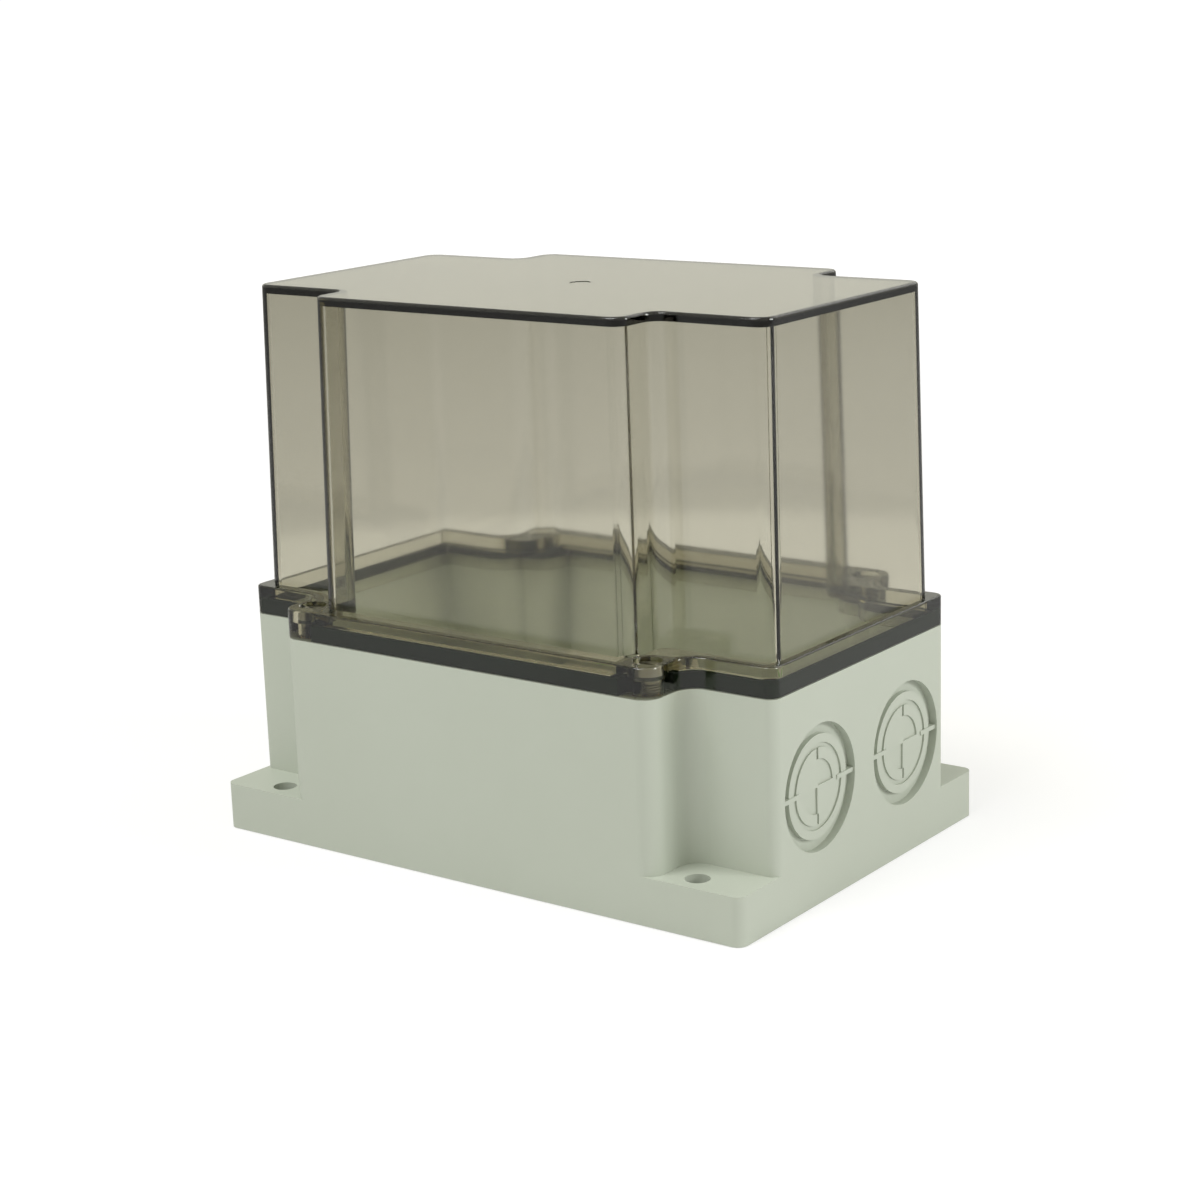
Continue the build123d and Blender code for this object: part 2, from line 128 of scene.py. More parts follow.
class Corner(Enum):
    """A corner of the box that holds a cover screw, as the record names it."""

    FRONT_RIGHT = "front_right"
    FRONT_LEFT = "front_left"
    BACK_LEFT = "back_left"
    BACK_RIGHT = "back_right"

    def sides(self) -> tuple[int, int]:
        """Gives the corner's sides: 1 or -1 along X and along Y."""
        return (1 if "right" in self.value else -1, 1 if "back" in self.value else -1)


class Mould(Enum):
    """How a mould's steel was worked, as the strength of the grain that it leaves on the plastic."""

    SPARK_ERODED = 0.35
    SATIN = 0.2
    POLISHED = 0.05


@dataclass(frozen=True)
class MouldedPlastic:
    """Moulded plastic or rubber: even colour, faint clouding, and a grain that scatters the gloss.

    Attributes:
        name: The material's name.
        colour: One colour of the clouding.
        shade: The other colour, close to it.
        mould: How the mould's steel was worked.
        roughness: The roughness in the middle of the grain's range.
        grain_mm: The size of one cell of the grain.
        grain_depth: The depth in millimetres that the grain is lit with.
        grain_range: The values of the grain's noise between which the roughness changes.
        gloss_drop: How far the roughness falls below its middle.
        gloss_rise: How far it rises above.
        cloud_mm: The size of one cell of the clouding.
        ior: The index of refraction.
        specular: The strength of the mirrored light, where 0.5 is what the index of refraction gives.
    """

    name: str
    colour: str
    shade: str
    mould: Mould
    roughness: float
    grain_mm: float
    grain_depth: float
    grain_range: tuple[float, float] = (0.3, 0.7)
    gloss_drop: float = 0.05
    gloss_rise: float = 0.06
    cloud_mm: float = 60.0
    ior: float = 1.53
    specular: float = 0.5

    def material(self) -> bpy.types.Material:
        """Builds the material with its colour clouding and mould grain.

        Returns:
            The material.
        """
        made, tree = new_material(self.name)
        place = add_node(tree, "ShaderNodeTexCoord").outputs["Object"]
        cloud = add_node(
            tree,
            "ShaderNodeTexNoise",
            inputs={"Scale": per_metre(self.cloud_mm), "Detail": 3.0, "Roughness": 0.6},
            links={"Vector": place},
        )
        colour = add_node(
            tree,
            "ShaderNodeMix",
            settings={"data_type": "RGBA"},
            inputs={6: linear(self.colour), 7: linear(self.shade)},
            links={0: cloud.outputs["Fac"]},
        )
        grain = add_node(
            tree,
            "ShaderNodeTexNoise",
            inputs={"Scale": per_metre(self.grain_mm), "Detail": 4.0, "Roughness": 0.65},
            links={"Vector": place},
        )
        gloss = add_node(
            tree,
            "ShaderNodeMapRange",
            inputs={
                "From Min": self.grain_range[0],
                "From Max": self.grain_range[1],
                "To Min": self.roughness - self.gloss_drop,
                "To Max": self.roughness + self.gloss_rise,
            },
            links={"Value": grain.outputs["Fac"]},
        )
        bump = add_node(
            tree,
            "ShaderNodeBump",
            inputs={"Strength": self.mould.value, "Distance": self.grain_depth * MM},
            links={"Height": grain.outputs["Fac"]},
        )
        shader = add_node(
            tree,
            "ShaderNodeBsdfPrincipled",
            inputs={"IOR": self.ior, "Specular IOR Level": self.specular},
            links={
                "Base Color": colour.outputs[2],
                "Roughness": gloss.outputs["Result"],
                "Normal": bump.outputs["Normal"],
            },
        )
        add_node(tree, "ShaderNodeOutputMaterial", links={"Surface": shader.outputs["BSDF"]})
        return made


@dataclass(frozen=True)
class SmokedPolycarbonate:
    """Polished clear polycarbonate with a smoke dye: it darkens with the length of plastic looked through.

    Attributes:
        name: The material's name.
        dye: The colour that the dye lets through.
        density: How fast the dye absorbs, per metre.
        face_pass: The share of lamp light that passes a face of the plastic.
        flow_mm: The size of one cell of the flow marks.
        flow_depth: The depth in millimetres that they are lit with.
        flow_strength: The strength of that bump.
        roughness: The least roughness.
        gloss_rise: How far the flow marks raise it.
        ior: The index of refraction.
    """

    name: str
    dye: str
    density: float
    face_pass: float = 0.99
    flow_mm: float = 40.0
    flow_depth: float = 0.05
    flow_strength: float = 0.1
    roughness: float = 0.03
    gloss_rise: float = 0.04
    ior: float = 1.586

    def material(self) -> bpy.types.Material:
        """Builds the material: clear refraction, faint flow marks, and a dye that absorbs.

        Returns:
            The material.
        """
        made, tree = new_material(self.name)
        place = add_node(tree, "ShaderNodeTexCoord").outputs["Object"]
        flow = add_node(
            tree,
            "ShaderNodeTexNoise",
            inputs={"Scale": per_metre(self.flow_mm), "Detail": 2.0},
            links={"Vector": place},
        )
        gloss = add_node(
            tree,
            "ShaderNodeMapRange",
            inputs={"To Min": self.roughness, "To Max": self.roughness + self.gloss_rise},
            links={"Value": flow.outputs["Fac"]},
        )
        bump = add_node(
            tree,
            "ShaderNodeBump",
            inputs={"Strength": self.flow_strength, "Distance": self.flow_depth * MM},
            links={"Height": flow.outputs["Fac"]},
        )
        shader = add_node(
            tree,
            "ShaderNodeBsdfPrincipled",
            inputs={"Base Color": grey(1.0), "IOR": self.ior, "Transmission Weight": 1.0},
            links={"Roughness": gloss.outputs["Result"], "Normal": bump.outputs["Normal"]},
        )
        dye = add_node(
            tree,
            "ShaderNodeVolumeAbsorption",
            inputs={"Color": linear(self.dye), "Density": self.density},
        )
        # Lamp light goes straight through the walls, so the inside of the tub is lit as through a real hood.
        lit = add_node(tree, "ShaderNodeLightPath").outputs["Is Shadow Ray"]
        clear = add_node(tree, "ShaderNodeBsdfTransparent", inputs={"Color": grey(self.face_pass)})
        surface = add_node(
            tree,
            "ShaderNodeMixShader",
            links={0: lit, 1: shader.outputs["BSDF"], 2: clear.outputs["BSDF"]},
        )
        add_node(
            tree,
            "ShaderNodeOutputMaterial",
            links={"Surface": surface.outputs["Shader"], "Volume": dye.outputs["Volume"]},
        )
        return made


@dataclass(frozen=True)
class WorkedMetal:
    """A plated or turned metal: its colour, fine work marks and slightly uneven gloss.

    Attributes:
        name: The material's name.
        colour: The metal's colour.
        roughness: The roughness before the marks change it.
        mark_mm: The size of one cell of the marks.
        mark_tint: How strongly they darken the colour.
        gloss_drop: How far they lower the roughness.
        gloss_rise: How far they raise it.
    """

    name: str
    colour: str
    roughness: float
    mark_mm: float
    mark_tint: float = 0.25
    gloss_drop: float = 0.08
    gloss_rise: float = 0.1

    def material(self) -> bpy.types.Material:
        """Builds the material with its work marks.

        Returns:
            The material.
        """
        made, tree = new_material(self.name)
        place = add_node(tree, "ShaderNodeTexCoord").outputs["Object"]
        marks = add_node(
            tree,
            "ShaderNodeTexNoise",
            inputs={"Scale": per_metre(self.mark_mm), "Detail": 5.0, "Roughness": 0.7},
            links={"Vector": place},
        )
        colour = add_node(
            tree,
            "ShaderNodeMixRGB",
            settings={"blend_type": "MULTIPLY"},
            inputs={"Fac": self.mark_tint, "Color1": linear(self.colour)},
            links={"Color2": marks.outputs["Fac"]},
        )
        gloss = add_node(
            tree,
            "ShaderNodeMapRange",
            inputs={"To Min": self.roughness - self.gloss_drop, "To Max": self.roughness + self.gloss_rise},
            links={"Value": marks.outputs["Fac"]},
        )
        shader = add_node(
            tree,
            "ShaderNodeBsdfPrincipled",
            inputs={"Metallic": 1.0},
            links={"Base Color": colour.outputs["Color"], "Roughness": gloss.outputs["Result"]},
        )
        add_node(tree, "ShaderNodeOutputMaterial", links={"Surface": shader.outputs["BSDF"]})
        return made


# ABS from a spark-eroded mould: a fine even grain that breaks a lamp's shine into a soft sheen, so the
# tub looks dry and matt. The real grain is about 0.1 mm. It is drawn coarser, so that it shows.
BASE_ABS = MouldedPlastic("spark_eroded_abs", "#BAC0B4", "#B4BAAD", Mould.SPARK_ERODED, 0.48, 0.35, 0.03)
# Polycarbonate from a polished mould, dyed right through: clear on its flat walls, which mirror the room
# softly, and nearly black where one looks along a wall or into an edge.
HOOD_POLYCARBONATE = SmokedPolycarbonate("smoked_polycarbonate", "#BFBA9C", 265.0)
# Rubber moulded smooth and pressed on the clear skirt: no air lies between, so it has almost no shine of
# its own and reads as a dark greenish band. The polished mould's faint waves are drawn at 0.8 mm.
SEAL_RUBBER = MouldedPlastic(
    "moulded_rubber", "#121C11", "#162014", Mould.POLISHED, 0.65, 0.8, 0.01, specular=0.0
)
# Zinc on rolled steel with a clear chromate: a slightly yellow silver, with blurred highlights. Work marks
# on this and the other metals are drawn at 0.3 to 0.6 mm, coarser than real ones, so that they show.
SCREW_STEEL = WorkedMetal("zinc_plated_steel", "#A5A396", 0.3, 0.4)
# Zinc on cold-rolled strip: paler and more even than the screws, with the rolls' faint mottle.
RAIL_STRIP = WorkedMetal("zinc_plated_strip", "#C9C9C4", 0.36, 0.6)
# Brass from the lathe: a warm yellow shine that is broken up by fine tool marks.
INSERT_BRASS = WorkedMetal("turned_brass", "#D8B56B", 0.28, 0.3)
# Brass under nickel: a warm white metal with a tight shine, seen deep in the terminals' holes.
CLAMP_BRASS = WorkedMetal("nickel_plated_brass", "#CFC8B4", 0.25, 0.3)
# Polyamide from a satin mould: a light grey with a little more sheen than the tub. Its grain is drawn
# coarser than the real one, as on the tub.
TERMINAL_POLYAMIDE = MouldedPlastic("grey_polyamide", "#C3C2BA", "#BCBBB2", Mould.SATIN, 0.42, 0.3, 0.01)
# The same polyamide in the green that marks an earth terminal.
EARTH_POLYAMIDE = MouldedPlastic("green_polyamide", "#5E9E34", "#589430", Mould.SATIN, 0.42, 0.3, 0.01)


def dress(piece: bpy.types.Object, material: bpy.types.Material) -> None:
    """Gives a piece one material in place of those it has.

    Args:
        piece: A CAD node or a new piece.
        material: Its material.
    """
    piece.data.materials.clear()
    piece.data.materials.append(material)


def select_only(piece: bpy.types.Object) -> None:
    """Makes one piece the only selected and the active one.

    Args:
        piece: The piece to select.
    """
    bpy.ops.object.select_all(action="DESELECT")
    piece.select_set(True)
    bpy.context.view_layer.objects.active = piece


def pick(piece: bpy.types.Object, rule: Callable[[bpy.types.MeshPolygon], bool]) -> None:
    """Selects the faces that a rule names and goes to edit mode.

    Args:
        piece: The piece to edit, in object mode.
        rule: Takes a face and says whether it is selected.
    """
    select_only(piece)
    bpy.ops.object.mode_set(mode="EDIT")
    bpy.ops.mesh.select_mode(type="FACE")
    bpy.ops.mesh.select_all(action="DESELECT")
    bpy.ops.object.mode_set(mode="OBJECT")
    for face in piece.data.polygons:
        face.select = rule(face)
    bpy.ops.object.mode_set(mode="EDIT")


def apply_modifier(piece: bpy.types.Object, kind: str, settings: dict[str, Any]) -> None:
    """Adds a modifier to the piece, sets it and applies it.

    Args:
        piece: The piece to change.
        kind: The modifier's type.
        settings: Its properties.
    """
    select_only(piece)
    modifier = piece.modifiers.new(kind.lower(), kind)
    for name, value in settings.items():
        setattr(modifier, name, value)
    bpy.ops.object.modifier_apply(modifier=modifier.name)


def join(pieces: list[bpy.types.Object], name: str) -> bpy.types.Object:
    """Joins pieces into one object.

    Args:
        pieces: What is joined, the first of which stays.
        name: The name of the result.

    Returns:
        The joined object.
    """
    select_only(pieces[0])
    for piece in pieces[1:]:
        piece.select_set(True)
    bpy.ops.object.join()
    pieces[0].name = name
    return pieces[0]


def settle(piece: bpy.types.Object, smooth_angle: float) -> None:
    """Puts a piece's place into its mesh, turns its faces outwards and smooths its soft edges.

    Args:
        piece: The finished piece.
        smooth_angle: The widest angle in degrees between faces that still looks smooth.
    """
    select_only(piece)
    bpy.ops.object.transform_apply(location=True, rotation=True, scale=True)
    bpy.ops.object.mode_set(mode="EDIT")
    bpy.ops.mesh.select_all(action="SELECT")
    bpy.ops.mesh.normals_make_consistent(inside=False)
    bpy.ops.object.mode_set(mode="OBJECT")
    bpy.ops.object.shade_smooth_by_angle(angle=math.radians(smooth_angle))


@dataclass
class Tub:
    """The grey base with its brass inserts."""

    plastic: MouldedPlastic
    brass: WorkedMetal

    def build(self, nodes: dict[str, bpy.types.Object]) -> None:
        """Dresses the tub and its inserts.

        Args:
            nodes: The CAD nodes by name.
        """
        dress(nodes["base_box"], self.plastic.material())
        turned = self.brass.material()
        for corner in Corner:
            dress(nodes[f"insert_{corner.value}"], turned)
        log.info("tub dressed in %s, with %d inserts", self.plastic.name, len(Corner))


@dataclass
class Cover:
    """The smoked cover, its rubber seal, and the screws that hold it."""

    plastic: SmokedPolycarbonate
    rubber: MouldedPlastic
    steel: WorkedMetal

    def build(self, nodes: dict[str, bpy.types.Object]) -> None:
        """Dresses the cover, seal and sealing rings, and sets the screws.

        Args:
            nodes: The CAD nodes by name.
        """
        dress(nodes["cover"], self.plastic.material())
        black = self.rubber.material()
        ChannelSeal().build(nodes["cover_seal"], black)
        for corner in Corner:
            dress(nodes[f"screw_ring_{corner.value}"], black)
        CoverScrew(self.steel).build()
        log.info("cover dressed in %s, seal and rings in %s", self.plastic.name, self.rubber.name)


@dataclass
class ChannelSeal:
    """The rubber seal, pressed flat on its channel's walls, with a flap that hangs over the tub's tongue.

    Attributes:
        weld_distance: How near two corners of the CAD seal's loose triangles are to be one.
        press: How far every wall is pushed out, to lie on the channel's walls.
        flap_thickness: The flap's thickness before it is pressed.
        flap_length: How far it hangs down.
        smooth_angle: The widest angle in degrees between faces that still looks smooth.
    """

    weld_distance: float = 0.002 * MM
    press: float = 0.065 * MM
    flap_thickness: float = 0.04 * MM
    flap_length: float = 1.3 * MM
    smooth_angle: float = 30.0

    def build(self, solid: bpy.types.Object, material: bpy.types.Material) -> None:
        """Welds a copy of the CAD seal, draws its flap down and presses it into contact.

        Args:
            solid: The CAD seal.
            material: The rubber.
        """
        seal = bpy.data.objects.new("channel_seal", solid.data.copy())
        bpy.context.scene.collection.objects.link(seal)
        select_only(seal)
        bpy.ops.object.mode_set(mode="EDIT")
        bpy.ops.mesh.select_all(action="SELECT")
        bpy.ops.mesh.remove_doubles(threshold=self.weld_distance)
        bpy.ops.object.mode_set(mode="OBJECT")

        pick(seal, lambda face: face.normal.z < -LEVEL)
        bpy.ops.mesh.inset(thickness=self.flap_thickness)
        bpy.ops.object.mode_set(mode="OBJECT")
        outside = {key for face in seal.data.polygons if self.is_outer_wall(face) for key in face.edge_keys}
        pick(seal, lambda face: face.normal.z < -LEVEL and not outside.isdisjoint(face.edge_keys))
        bpy.ops.mesh.extrude_region_move(TRANSFORM_OT_translate={"value": (0, 0, -self.flap_length)})
        bpy.ops.mesh.select_all(action="SELECT")
        bpy.ops.transform.shrink_fatten(value=self.press, use_even_offset=True)
        bpy.ops.object.mode_set(mode="OBJECT")
        settle(seal, self.smooth_angle)
        dress(seal, material)
        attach(seal, "lid")
        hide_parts("cover_seal")
        log.info("channel_seal in %s", material.name)

    def is_outer_wall(self, face: bpy.types.MeshPolygon) -> bool:
        """Says whether an upright face of the seal looks away from the box's middle."""
        return abs(face.normal.z) < UPRIGHT and face.normal.xy.dot(face.center.xy) > 0


@dataclass
class CoverScrew:
    """A cheese-head screw with a slot and a rolled thread, modelled once and set at each corner.

    Attributes:
        steel: The screw's metal.
        place: The axis of the front right screw.
        head_level: The height of the head's seat.
        head_radius: The head's radius.
        head_height: The head's height.
        head_edge: The rounding of its upper edge.
        edge_steps: The number of faces across that rounding.
        slot_width: The slot's width.
        slot_depth: The slot's depth.
        shank_radius: The radius of the shank and of the thread's crests.
        shank_length: The length from the head's seat to the tip.
        plain_length: The length of shank above the thread.
        thread_pitch: The rise of one turn.
        thread_depth: How far the core lies inside the crests.
        thread_root: How far the ridge reaches into the core, so that the two join.
        thread_land: The gap left on each side of the foot of a turn.
        tip_length: The length of the chamfer at the tip.
        sides: The number of faces round the screw.
        smooth_angle: The widest angle in degrees between faces that still looks smooth.
    """

    steel: WorkedMetal
    place: tuple[float, float] = (58.0 * MM, -53.5 * MM)
    head_level: float = 66.2 * MM
    head_radius: float = 3.4 * MM
    head_height: float = 2.4 * MM
    head_edge: float = 0.4 * MM
    edge_steps: int = 3
    slot_width: float = 1.2 * MM
    slot_depth: float = 1.2 * MM
    shank_radius: float = 2.0 * MM
    shank_length: float = 12.2 * MM
    plain_length: float = 2.0 * MM
    thread_pitch: float = 0.7 * MM
    thread_depth: float = 0.4 * MM
    thread_root: float = 0.1 * MM
    thread_land: float = 0.02 * MM
    tip_length: float = 0.5 * MM
    sides: int = 48
    smooth_angle: float = 32.0

    def build(self) -> None:
        """Models the first screw and copies it to the other corners."""
        first = join([self.head(), self.thread()], f"{Corner.FRONT_RIGHT.value}_screw")
        settle(first, self.smooth_angle)
        dress(first, self.steel.material())
        for corner in Corner:
            piece = first
            if corner is not Corner.FRONT_RIGHT:
                piece = first.copy()
                piece.data = first.data.copy()
                piece.name = f"{corner.value}_screw"
                bpy.context.scene.collection.objects.link(piece)
                side_x, side_y = corner.sides()
                piece.location = ((side_x - 1) * self.place[0], (-side_y - 1) * self.place[1], 0.0)
                select_only(piece)
                bpy.ops.object.transform_apply(location=True, rotation=False, scale=False)
            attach(piece, f"screw_{corner.value}")
            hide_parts(f"cover_screw_{corner.value}")
            log.info("%s in %s", piece.name, self.steel.name)

    def head(self) -> bpy.types.Object:
        """Models the head and shank: a disc whose underside is inset and drawn down, and whose top is slotted.

        Returns:
            The head with its shank.
        """
        bpy.ops.object.select_all(action="DESELECT")
        bpy.ops.mesh.primitive_cylinder_add(
            vertices=self.sides,
            radius=self.head_radius,
            depth=self.head_height,
            location=(*self.place, self.head_level + self.head_height / 2),
        )
        head = bpy.context.object
        core = self.shank_radius - self.thread_depth
        pick(head, lambda face: face.normal.z < -LEVEL)
        bpy.ops.mesh.inset(thickness=self.head_radius - self.shank_radius)
        bpy.ops.mesh.extrude_region_move(TRANSFORM_OT_translate={"value": (0, 0, -self.plain_length)})
        bpy.ops.mesh.inset(thickness=self.thread_depth)
        drop = self.shank_length - self.plain_length - self.tip_length
        bpy.ops.mesh.extrude_region_move(TRANSFORM_OT_translate={"value": (0, 0, -drop)})
        bpy.ops.mesh.extrude_region_move(TRANSFORM_OT_translate={"value": (0, 0, -self.tip_length)})
        bpy.ops.transform.resize(value=((core - self.tip_length) / core,) * 2 + (1,))
        bpy.ops.object.mode_set(mode="OBJECT")

        pick(head, lambda face: face.normal.z > LEVEL)
        bpy.ops.mesh.bevel(offset=self.head_edge, segments=self.edge_steps, affect="EDGES")
        bpy.ops.object.mode_set(mode="OBJECT")

        # The slot's cutter is longer than the head is wide, and its upper half stands above the head.
        bpy.ops.mesh.primitive_cube_add(
            size=1.0,
            location=(*self.place, self.head_level + self.head_height),
            scale=(3 * self.head_radius, self.slot_width, 2 * self.slot_depth),
        )
        cutter = bpy.context.object
        apply_modifier(head, "BOOLEAN", {"operation": "DIFFERENCE", "object": cutter, "solver": "EXACT"})
        bpy.data.objects.remove(cutter)
        return head

    def thread(self) -> bpy.types.Object:
        """Models the thread: a triangle with its tip outwards, wound up round the core.

        Returns:
            The thread.
        """
        length = self.shank_length - self.plain_length - self.tip_length
        turns = int(length / self.thread_pitch) - 1
        # An even triangle is one and a half radii high, and half its side is the radius times cos 30.
        radius = (self.thread_depth + self.thread_root) / 1.5
        width = (self.thread_pitch / 2 - self.thread_land) / (radius * math.cos(math.radians(30)))
        bpy.ops.object.select_all(action="DESELECT")
        bpy.ops.mesh.primitive_circle_add(
            vertices=3,
            radius=radius,
            location=(self.shank_radius - radius, 0, 0),
            rotation=(math.pi / 2, math.pi / 2, 0),
            scale=(width, 1, 1),
        )
        ridge = bpy.context.object
        bpy.ops.object.transform_apply(location=True, rotation=True, scale=True)
        apply_modifier(
            ridge,
            "SCREW",
            {
                "axis": "Z",
                "angle": math.tau,
                "screw_offset": self.thread_pitch,
                "iterations": turns,
                "steps": self.sides,
                "render_steps": self.sides,
                "use_merge_vertices": True,
            },
        )
        bpy.ops.object.mode_set(mode="EDIT")
        bpy.ops.mesh.select_all(action="SELECT")
        bpy.ops.mesh.fill_holes(sides=3)
        bpy.ops.object.mode_set(mode="OBJECT")
        # The ridge winds up from here, and ends half a turn below the plain shank.
        ridge.location = (*self.place, self.head_level - self.plain_length - (turns + 0.5) * self.thread_pitch)
        return ridge


@dataclass
class TerminalStrip:
    """The rail on the tub's floor with its terminals, clamps, end stops and screws."""

    rail: WorkedMetal
    clamp: WorkedMetal
    body: MouldedPlastic
    earth: MouldedPlastic

    def build(self, nodes: dict[str, bpy.types.Object], slots: dict[str, str]) -> None:
        """Dresses each piece of the strip by its material slot.

        Args:
            nodes: The CAD nodes by name.
            slots: The material slot of each node.
        """
        finishes = {
            "rail_steel": self.rail.material(),
            "clamp_brass": self.clamp.material(),
            "terminal_plastic": self.body.material(),
            "earth_plastic": self.earth.material(),
        }
        # The strip's own screws are plated like its rail.
        finishes["screw_steel"] = finishes["rail_steel"]
        for name, slot in slots.items():
            if slot in finishes and not name.startswith("cover_screw"):
                dress(nodes[name], finishes[slot])
                log.info("%s dressed", name)


@dataclass(frozen=True)
class SoftBox:
    """A square lamp that looks at the box: its place and side in metres, and its power in watts."""

    name: str
    place: tuple[float, float, float]
    side: float
    power: float

    def hang(self, target: Vector) -> None:
        """Hangs the lamp.

        Args:
            target: The point that it faces.
        """
        light = bpy.data.lights.new(self.name, "AREA")
        light.size = self.side
        light.energy = self.power
        lamp = bpy.data.objects.new(self.name, light)
        bpy.context.scene.collection.objects.link(lamp)
        lamp.location = self.place
        lamp.rotation_euler = (target - Vector(self.place)).to_track_quat("-Z", "Y").to_euler()


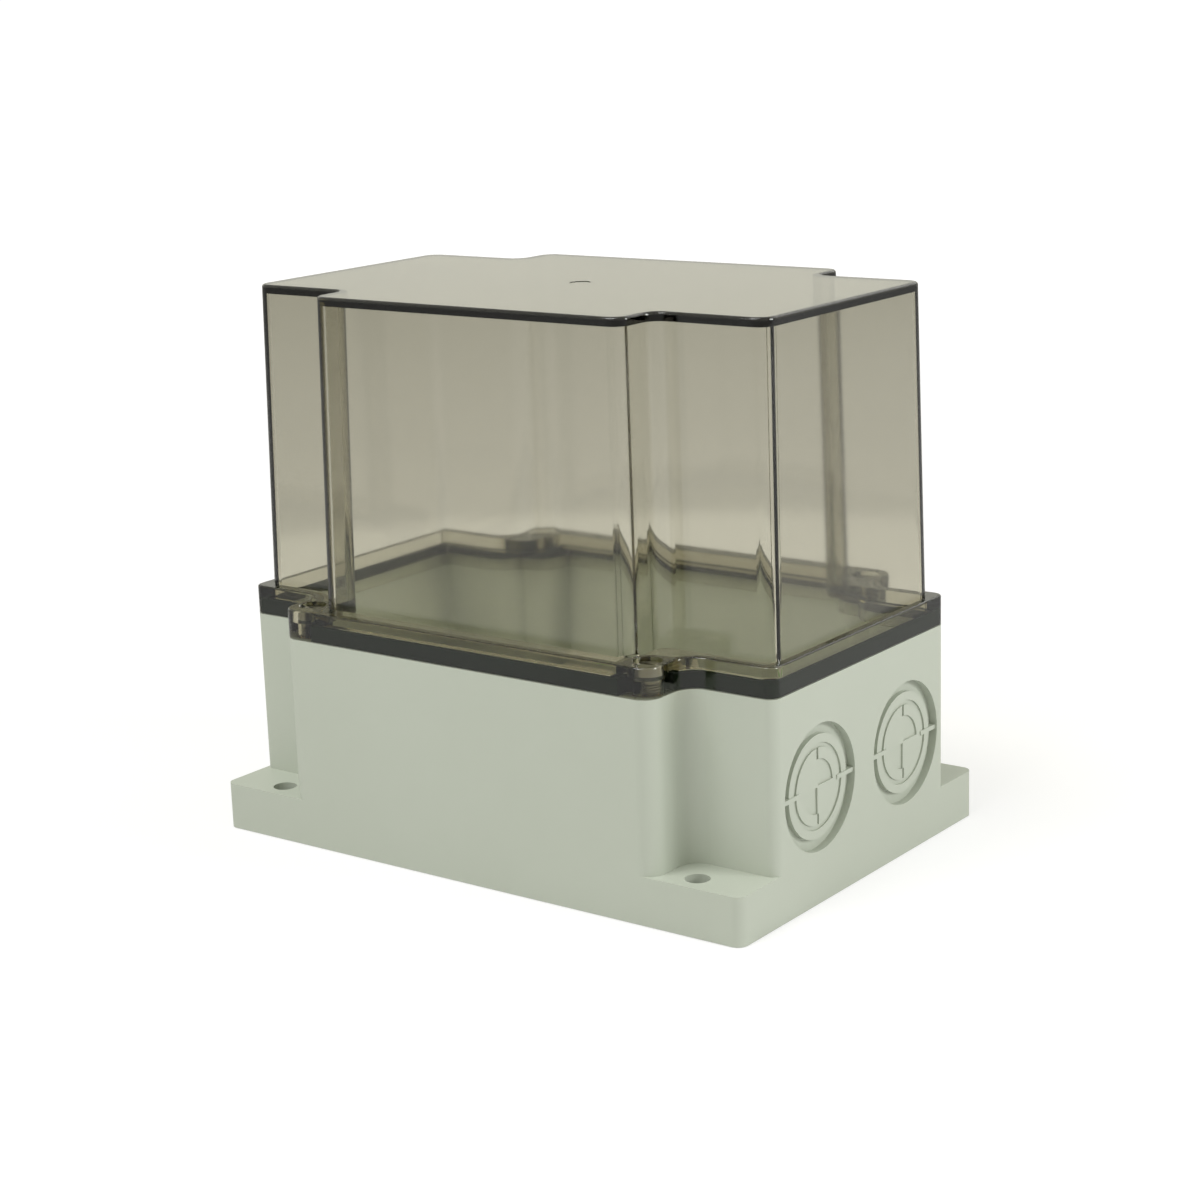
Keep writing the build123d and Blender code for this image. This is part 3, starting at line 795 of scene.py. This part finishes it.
@dataclass
class Studio:
    """White surroundings, a pale floor that keeps the shadow, soft lamps, and the photograph's camera.

    Sizes and places are in metres. Light that goes through the hood, that is mirrored, and that the camera
    sees directly are set apart. Seen through the hood, the floor near the box glows brighter: a painted pool of
    light.

    Attributes:
        floor_size: The floor's side.
        floor_level: The floor's height, just under the box.
        floor_paint: How much of the lamps' light the floor sends back.
        mirrored_paint: The same as the box mirrors it.
        plain_light: The strength of the light that the room gives.
        mirrored_light: The room's brightness as the box mirrors it.
        room_colour: The room's colour wherever it isn't seen directly.
        floor_shade: The part of the seen floor that takes a shadow.
        near_glow: The part that glows, near the box.
        far_glow: The part that glows, far from it.
        lit_radius: The distances between which it goes from near to far.
        near_glow_through: As near_glow, for the floor seen through the hood: a painted pool of light near the box.
        far_glow_through: As far_glow, for the floor seen through the hood.
        painted_pool_radius: As lit_radius, for the floor seen through the hood.
        backdrop_through: The room's brightness as seen through the hood.
        lit_point: The point that the lamps face.
        lamps: The lamps.
        camera_place: The camera's place, fitted to the photograph with the three directions below.
        camera_right: The direction of the picture's right side.
        camera_down: The direction of its lower side.
        camera_forward: The direction of the look.
        focal_pixels: The fitted focal length in the photograph's pixels.
        image_pixels: The photograph's width.
        sensor_mm: The width of the sensor that stands for it.
    """

    floor_size: float = 80.0
    floor_level: float = -0.2 * MM
    floor_paint: float = 0.8
    mirrored_paint: float = 0.6
    plain_light: float = 0.4
    mirrored_light: float = 0.82
    room_colour: str = "#FFFEF0"
    floor_shade: float = 0.45
    near_glow: float = 0.58
    far_glow: float = 0.88
    lit_radius: tuple[float, float] = (0.2, 1.6)
    # Seen through the hood, the floor glows brighter near the box than far off: a painted pool of light.
    near_glow_through: float = 0.64
    far_glow_through: float = 0.38
    painted_pool_radius: tuple[float, float] = (0.4, 0.44)
    backdrop_through: float = 0.75
    lit_point: tuple[float, float, float] = (0.0, 0.0, 0.07)
    lamps: tuple[SoftBox, ...] = (
        SoftBox("top_box", (-0.2, -0.75, 1.2), 0.9, 13.6),
        SoftBox("right_box", (1.3, 0.35, 0.6), 0.5, 9.9),
        SoftBox("back_box", (0.2, 1.2, 1.0), 1.0, 3.0),
    )
    camera_place: tuple[float, float, float] = (0.42127, -0.55716, 0.24385)
    camera_right: tuple[float, float, float] = (0.804341, 0.593295, -0.032176)
    camera_down: tuple[float, float, float] = (0.121345, -0.21704, -0.968591)
    camera_forward: tuple[float, float, float] = (-0.581644, 0.775174, -0.246568)
    focal_pixels: float = 2523.1
    image_pixels: float = 1200.0
    sensor_mm: float = 36.0

    def build(self) -> None:
        """Makes the surroundings, floor, lamps and camera."""
        self.surroundings()
        self.floor()
        for lamp in self.lamps:
            lamp.hang(Vector(self.lit_point))
        self.camera()

    def surroundings(self) -> None:
        """Sets the world: white where it is seen, a little darker in mirrors and through the hood, grey as light."""
        world = bpy.data.worlds.new("studio")
        bpy.context.scene.world = world
        world.use_nodes = True
        tree = world.node_tree
        tree.nodes.clear()
        path = add_node(tree, "ShaderNodeLightPath")
        through = add_node(
            tree,
            "ShaderNodeMix",
            inputs={2: self.plain_light, 3: self.backdrop_through},
            links={0: path.outputs["Is Transmission Ray"]},
        )
        mirrored = add_node(
            tree,
            "ShaderNodeMix",
            inputs={3: self.mirrored_light},
            links={0: path.outputs["Is Glossy Ray"], 2: through.outputs[0]},
        )
        strength = add_node(
            tree,
            "ShaderNodeMix",
            inputs={3: 1.0},
            links={0: path.outputs["Is Camera Ray"], 2: mirrored.outputs[0]},
        )
        colour = add_node(
            tree,
            "ShaderNodeMix",
            settings={"data_type": "RGBA"},
            inputs={6: linear(self.room_colour), 7: grey(1.0)},
            links={0: path.outputs["Is Camera Ray"]},
        )
        room = add_node(
            tree,
            "ShaderNodeBackground",
            links={"Color": colour.outputs[2], "Strength": strength.outputs[0]},
        )
        add_node(tree, "ShaderNodeOutputWorld", links={"Surface": room.outputs[0]})

    def floor(self) -> None:
        """Makes the floor, white where it is lit and grey in the box's shadow."""
        bpy.ops.object.select_all(action="DESELECT")
        bpy.ops.mesh.primitive_plane_add(size=self.floor_size, location=(0, 0, self.floor_level))
        floor = bpy.context.object
        floor.name = "floor"
        made, tree = new_material("painted_floor")
        path = add_node(tree, "ShaderNodeLightPath")
        place = add_node(tree, "ShaderNodeTexCoord").outputs["Object"]
        distance = add_node(tree, "ShaderNodeVectorMath", settings={"operation": "LENGTH"}, links={0: place})
        # Through the hood, the floor near the box glows more than far off: a painted pool of light, not a lamp's.
        direct, through = (
            add_node(
                tree,
                "ShaderNodeMapRange",
                settings={"interpolation_type": "SMOOTHSTEP"},
                inputs={"From Min": radius[0], "From Max": radius[1], "To Min": near, "To Max": far},
                links={"Value": distance.outputs["Value"]},
            )
            for radius, near, far in (
                (self.lit_radius, self.near_glow, self.far_glow),
                (self.painted_pool_radius, self.near_glow_through, self.far_glow_through),
            )
        )
        strength = add_node(
            tree,
            "ShaderNodeMix",
            links={0: path.outputs["Is Camera Ray"], 2: through.outputs["Result"], 3: direct.outputs["Result"]},
        )
        tone = add_node(
            tree,
            "ShaderNodeMix",
            inputs={2: self.floor_paint, 3: self.mirrored_paint},
            links={0: path.outputs["Is Glossy Ray"]},
        )
        paint = add_node(tree, "ShaderNodeBsdfDiffuse", links={"Color": tone.outputs[0]})
        shade = add_node(tree, "ShaderNodeBsdfDiffuse", inputs={"Color": grey(self.floor_shade)})
        glow = add_node(
            tree,
            "ShaderNodeEmission",
            inputs={"Color": grey(1.0)},
            links={"Strength": strength.outputs[0]},
        )
        both = add_node(tree, "ShaderNodeAddShader", links={0: shade.outputs[0], 1: glow.outputs[0]})
        seen = add_node(
            tree,
            "ShaderNodeMath",
            settings={"operation": "MAXIMUM"},
            links={0: path.outputs["Is Camera Ray"], 1: path.outputs["Is Transmission Ray"]},
        )
        mix = add_node(
            tree,
            "ShaderNodeMixShader",
            links={0: seen.outputs[0], 1: paint.outputs[0], 2: both.outputs[0]},
        )
        add_node(tree, "ShaderNodeOutputMaterial", links={"Surface": mix.outputs[0]})
        floor.data.materials.append(made)

    def camera(self) -> None:
        """Sets the camera that the photograph's outlines were fitted with."""
        lens = bpy.data.cameras.new("camera")
        lens.sensor_width = self.sensor_mm
        lens.lens = self.focal_pixels / self.image_pixels * self.sensor_mm
        camera = bpy.data.objects.new("camera", lens)
        bpy.context.scene.collection.objects.link(camera)
        turn = Matrix((self.camera_right, -Vector(self.camera_down), -Vector(self.camera_forward))).transposed()
        camera.matrix_world = Matrix.Translation(self.camera_place) @ turn.to_4x4()
        bpy.context.scene.camera = camera


def main() -> None:
    """Builds the studio and dresses the box."""
    logging.basicConfig(level=logging.INFO, format="%(name)s: %(message)s")
    bpy.context.scene.view_settings.view_transform = "Standard"
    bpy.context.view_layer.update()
    nodes: dict[str, bpy.types.Object] = frame["nodes"]
    slots = {part["node"]: part["material_slot"] for part in frame["record"]["subparts"]}

    Studio().build()
    Tub(BASE_ABS, INSERT_BRASS).build(nodes)
    Cover(HOOD_POLYCARBONATE, SEAL_RUBBER, SCREW_STEEL).build(nodes)
    TerminalStrip(RAIL_STRIP, CLAMP_BRASS, TERMINAL_POLYAMIDE, EARTH_POLYAMIDE).build(nodes, slots)


if __name__ == "__main__":
    main()
